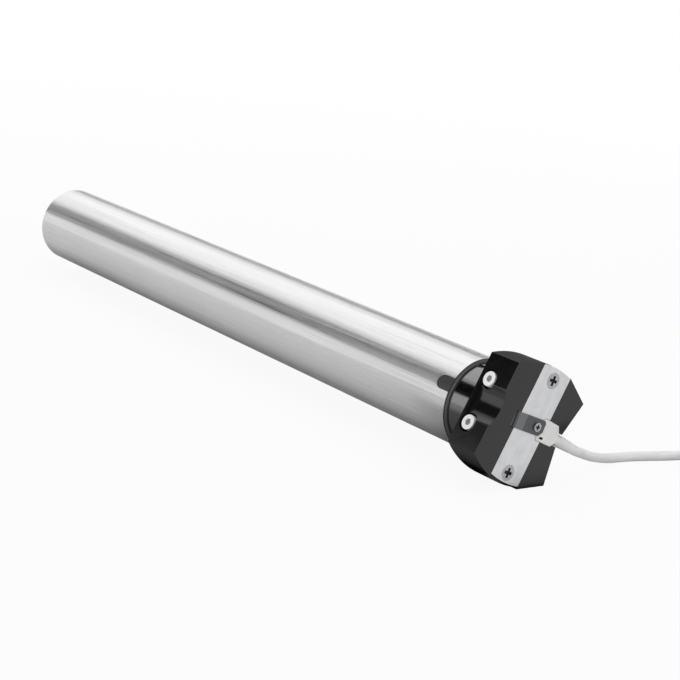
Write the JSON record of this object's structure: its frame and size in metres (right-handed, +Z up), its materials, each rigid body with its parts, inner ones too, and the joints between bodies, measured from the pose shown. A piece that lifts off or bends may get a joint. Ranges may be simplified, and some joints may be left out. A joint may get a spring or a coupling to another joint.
{
  "type": "tubular roller blind motor",
  "caption": "Tubular motor for a roller blind: steel tube with output shaft, and a black mounting head with steel strap, limit knobs and mains cable.",
  "frame": {"origin": "centre of the mouth of the tube, on the motor axis, where the head enters it", "axes": "+X along the motor axis out of the head, +Z up with the head lying on one sloped side"},
  "size_m": [0.6925, 0.2747, 0.0797],
  "materials": {
    "bright_steel": "brushed along the tube, satin",
    "dark_collar": "dark grey, satin",
    "black_plastic": "fine moulded texture",
    "gloss_black": "polished",
    "zinc_steel": "zinc plated, lightly brushed",
    "screw_steel": "nickel plated",
    "clamp_steel": "dark, glossy",
    "white_plastic": "smooth moulded",
    "knob_white": "smooth",
    "brass": "turned",
    "nylon": "natural nylon",
    "switch_black": "moulded",
    "button_red": "moulded",
    "wire_blue": "insulated wires in a sleeve",
    "capacitor_metal": "drawn can",
    "die_cast": "die cast",
    "bearing_steel": "ground",
    "iron": "laminated iron",
    "copper": "enamelled copper wire",
    "shaft_steel": "ground",
    "friction": "friction lining",
    "gear_steel": "sintered steel",
    "bronze": "sintered bronze",
    "cap_grey": "glass filled nylon",
    "spring_black": "blackened spring steel",
    "cable_white": "pale PVC",
    "tie_black": "woven hook and loop",
    "core_ends": "insulated cores with ferrules"
  },
  "bodies": {
    "motor": {"tube": "bright_steel", "end_collar": "dark_collar", "head_body": "black_plastic", "mounting_strap": "zinc_steel", "strap_screws": "screw_steel", "cable_clamp": "clamp_steel", "clamp_screw": "screw_steel", "cable_gland": "white_plastic", "strain_relief": "white_plastic", "limit_frame": "nylon", "limit_switches": "switch_black", "head_lid": "black_plastic", "wiring_harness": "wire_blue", "capacitor_cradle": "nylon", "capacitor": "capacitor_metal", "front_bell": "die_cast", "rear_bell": "die_cast", "rotor_bearings": "bearing_steel", "stator_core": "iron", "stator_winding": "copper", "brake_magnet": "iron", "brake_spring": "spring_black", "gearbox_case": "gear_steel", "output_bushes": "bronze", "end_cap": "cap_grey", "cord_run": "cable_white", "cord_coil": "cable_white", "cord_tail": "cable_white", "coil_tie": "tie_black", "cable_cores": "core_ends"},
    "rotor": {"rotor_core": "iron", "rotor_shaft": "shaft_steel", "motor_pinion": "gear_steel", "brake_disc": "iron"},
    "first_stage": {"first_carrier": "gear_steel"},
    "second_stage": {"second_carrier": "gear_steel"},
    "output": {"output_shaft": "shaft_steel", "shaft_circlip": "spring_black"},
    "crown": {"limit_ring": "gloss_black"},
    "limit_drive": {"limit_pinion": "nylon"},
    "upper_cam": {"upper_cam_wheel": "nylon"},
    "lower_cam": {"lower_cam_wheel": "nylon"},
    "upper_setting": {"upper_limit_knob": "knob_white", "upper_adjuster": "brass"},
    "lower_setting": {"lower_limit_knob": "knob_white", "lower_adjuster": "brass"},
    "armature": {"brake_armature": "iron", "brake_lining": "friction"},
    "upper_button": {"upper_switch_button": "button_red"},
    "lower_button": {"lower_switch_button": "button_red"},
    "first_planet_a_wheel": {"first_planet_a": "gear_steel"},
    "first_planet_b_wheel": {"first_planet_b": "gear_steel"},
    "first_planet_c_wheel": {"first_planet_c": "gear_steel"},
    "second_planet_a_wheel": {"second_planet_a": "gear_steel"},
    "second_planet_b_wheel": {"second_planet_b": "gear_steel"},
    "second_planet_c_wheel": {"second_planet_c": "gear_steel"},
    "third_planet_a_wheel": {"third_planet_a": "gear_steel"},
    "third_planet_b_wheel": {"third_planet_b": "gear_steel"},
    "third_planet_c_wheel": {"third_planet_c": "gear_steel"}
  },
  "joints": [
    {"name": "rotor_spin", "type": "hinge", "parent": "motor", "child": "rotor", "pos_m": [-0.236, 0, 0], "axis": [1, 0, 0], "continuous": true},
    {"name": "first_carrier_spin", "type": "hinge", "parent": "motor", "child": "first_stage", "pos_m": [-0.397, 0, 0], "axis": [1, 0, 0], "continuous": true},
    {"name": "second_carrier_spin", "type": "hinge", "parent": "motor", "child": "second_stage", "pos_m": [-0.431, 0, 0], "axis": [1, 0, 0], "continuous": true},
    {"name": "output_spin", "type": "hinge", "parent": "motor", "child": "output", "pos_m": [-0.465, 0, 0], "axis": [1, 0, 0], "continuous": true},
    {"name": "first_planet_a_spin", "type": "hinge", "parent": "first_stage", "child": "first_planet_a_wheel", "pos_m": [-0.381, 0.0135, 0], "axis": [1, 0, 0], "continuous": true},
    {"name": "first_planet_b_spin", "type": "hinge", "parent": "first_stage", "child": "first_planet_b_wheel", "pos_m": [-0.381, -0.00675, 0.01169], "axis": [1, 0, 0], "continuous": true},
    {"name": "first_planet_c_spin", "type": "hinge", "parent": "first_stage", "child": "first_planet_c_wheel", "pos_m": [-0.381, -0.00675, -0.01169], "axis": [1, 0, 0], "continuous": true},
    {"name": "second_planet_a_spin", "type": "hinge", "parent": "second_stage", "child": "second_planet_a_wheel", "pos_m": [-0.415, 0.0135, 0], "axis": [1, 0, 0], "continuous": true},
    {"name": "second_planet_b_spin", "type": "hinge", "parent": "second_stage", "child": "second_planet_b_wheel", "pos_m": [-0.415, -0.00675, 0.01169], "axis": [1, 0, 0], "continuous": true},
    {"name": "second_planet_c_spin", "type": "hinge", "parent": "second_stage", "child": "second_planet_c_wheel", "pos_m": [-0.415, -0.00675, -0.01169], "axis": [1, 0, 0], "continuous": true},
    {"name": "third_planet_a_spin", "type": "hinge", "parent": "output", "child": "third_planet_a_wheel", "pos_m": [-0.449, 0.0135, 0], "axis": [1, 0, 0], "continuous": true},
    {"name": "third_planet_b_spin", "type": "hinge", "parent": "output", "child": "third_planet_b_wheel", "pos_m": [-0.449, -0.00675, 0.01169], "axis": [1, 0, 0], "continuous": true},
    {"name": "third_planet_c_spin", "type": "hinge", "parent": "output", "child": "third_planet_c_wheel", "pos_m": [-0.449, -0.00675, -0.01169], "axis": [1, 0, 0], "continuous": true},
    {"name": "crown_spin", "type": "hinge", "parent": "motor", "child": "crown", "pos_m": [0.0115, 0, 0], "axis": [1, 0, 0], "continuous": true},
    {"name": "limit_pinion_spin", "type": "hinge", "parent": "motor", "child": "limit_drive", "pos_m": [0.0115, 0.00845, 0.01813], "axis": [1, 0, 0], "continuous": true},
    {"name": "upper_cam_spin", "type": "hinge", "parent": "motor", "child": "upper_cam", "pos_m": [0.0115, 0.00237, 0.00507], "axis": [1, 0, 0], "continuous": true},
    {"name": "lower_cam_spin", "type": "hinge", "parent": "motor", "child": "lower_cam", "pos_m": [0.0115, 0.00237, 0.00507], "axis": [1, 0, 0], "continuous": true},
    {"name": "upper_limit_turn", "type": "hinge", "parent": "motor", "child": "upper_setting", "pos_m": [0.0295, -0.02119, 0.02555], "axis": [0, -0.9063, 0.4226], "continuous": true},
    {"name": "lower_limit_turn", "type": "hinge", "parent": "motor", "child": "lower_setting", "pos_m": [0.0295, -0.03319, -0.00019], "axis": [0, -0.9063, 0.4226], "continuous": true},
    {"name": "brake_release", "type": "slide", "parent": "motor", "child": "armature", "axis": [1, 0, 0], "range_m": [0, 0.0005], "stiffness_N_per_m": 8000, "springref_m": -0.001},
    {"name": "upper_button_press", "type": "slide", "parent": "motor", "child": "upper_button", "axis": [0, -0.4226, -0.9063], "range_m": [0, 0.0008], "stiffness_N_per_m": 300, "springref_m": -0.0004},
    {"name": "lower_button_press", "type": "slide", "parent": "motor", "child": "lower_button", "axis": [0, -0.4226, -0.9063], "range_m": [0, 0.0008], "stiffness_N_per_m": 300, "springref_m": -0.0004}
  ],
  "couplings": [
    {"joint": "first_carrier_spin", "follows": "rotor_spin", "ratio": 0.22222},
    {"joint": "second_carrier_spin", "follows": "rotor_spin", "ratio": 0.049383},
    {"joint": "output_spin", "follows": "rotor_spin", "ratio": 0.010974},
    {"joint": "first_planet_a_spin", "follows": "rotor_spin", "ratio": -0.62222},
    {"joint": "first_planet_b_spin", "follows": "rotor_spin", "ratio": -0.62222},
    {"joint": "first_planet_c_spin", "follows": "rotor_spin", "ratio": -0.62222},
    {"joint": "second_planet_a_spin", "follows": "rotor_spin", "ratio": -0.13827},
    {"joint": "second_planet_b_spin", "follows": "rotor_spin", "ratio": -0.13827},
    {"joint": "second_planet_c_spin", "follows": "rotor_spin", "ratio": -0.13827},
    {"joint": "third_planet_a_spin", "follows": "rotor_spin", "ratio": -0.030727},
    {"joint": "third_planet_b_spin", "follows": "rotor_spin", "ratio": -0.030727},
    {"joint": "third_planet_c_spin", "follows": "rotor_spin", "ratio": -0.030727},
    {"joint": "limit_pinion_spin", "follows": "crown_spin", "ratio": 5.1667},
    {"joint": "upper_cam_spin", "follows": "crown_spin", "ratio": -2.5833},
    {"joint": "lower_cam_spin", "follows": "crown_spin", "ratio": -2.5833}
  ]
}
